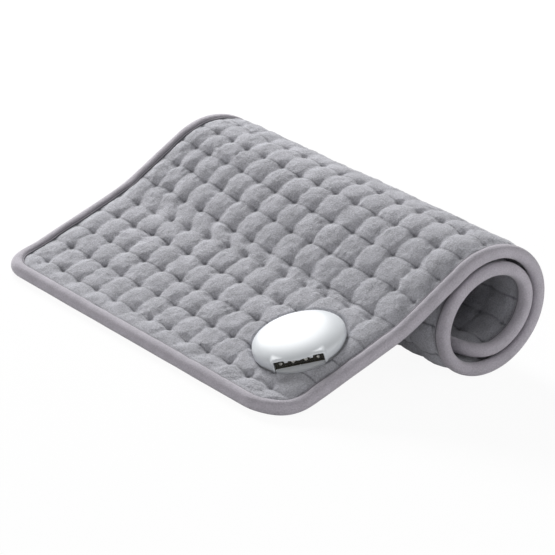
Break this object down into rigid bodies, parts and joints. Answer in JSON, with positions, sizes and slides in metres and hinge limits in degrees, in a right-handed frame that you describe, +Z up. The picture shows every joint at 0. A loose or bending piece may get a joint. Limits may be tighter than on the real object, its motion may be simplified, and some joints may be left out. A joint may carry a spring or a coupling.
{
  "type": "quilted heating pad with a controller dock",
  "caption": "Quilted electric heating pad with a bound edge, rolled up from one end, and an oval socket dock for a detachable controller near a front corner.",
  "frame": {"origin": "centre of the bounding box, at the floor", "axes": "+X along the pad from its free short edge to the roll, +Y across the pad to its back long edge, +Z up"},
  "size_m": [0.2272, 0.305, 0.0891],
  "materials": {
    "plush_top": "short-pile plush",
    "plush_reverse": "short-pile plush",
    "binding": "short-pile binding tape",
    "carrier": "non-woven sheet",
    "wire": "insulated wire",
    "lead_red": "insulated wire",
    "lead_black": "insulated wire",
    "lead_white": "insulated wire",
    "black_body": "moulded body",
    "crimp": "crimped sleeve",
    "dock_shell": "glossy moulding",
    "dock_base": "moulding",
    "gasket": "soft moulding",
    "insert": "moulding",
    "board": "laminate",
    "contacts": "plated",
    "screws": "plain"
  },
  "bodies": {
    "root": {"top_cover": "plush_top", "bottom_cover": "plush_reverse", "edge_binding": "binding", "carrier_sheet": "carrier", "heating_wire": "wire", "heater_lead": "lead_red", "cutout_lead": "lead_red", "return_lead": "lead_black", "sensor_lead_1": "lead_white", "sensor_lead_2": "lead_white", "thermal_cutout": "black_body", "temperature_sensor": "black_body", "splice_start": "crimp", "splice_end": "crimp", "dock_cover": "dock_shell", "dock_base": "dock_base", "dock_back_plate": "dock_base", "dock_gasket": "gasket", "socket_insert": "insert", "circuit_board": "board", "contact_pin_1": "contacts", "dock_screw_1": "screws", "contact_pin_2": "contacts", "dock_screw_2": "screws", "contact_pin_3": "contacts", "dock_screw_3": "screws", "contact_pin_4": "contacts", "dock_screw_4": "screws"}
  },
  "joints": []
}
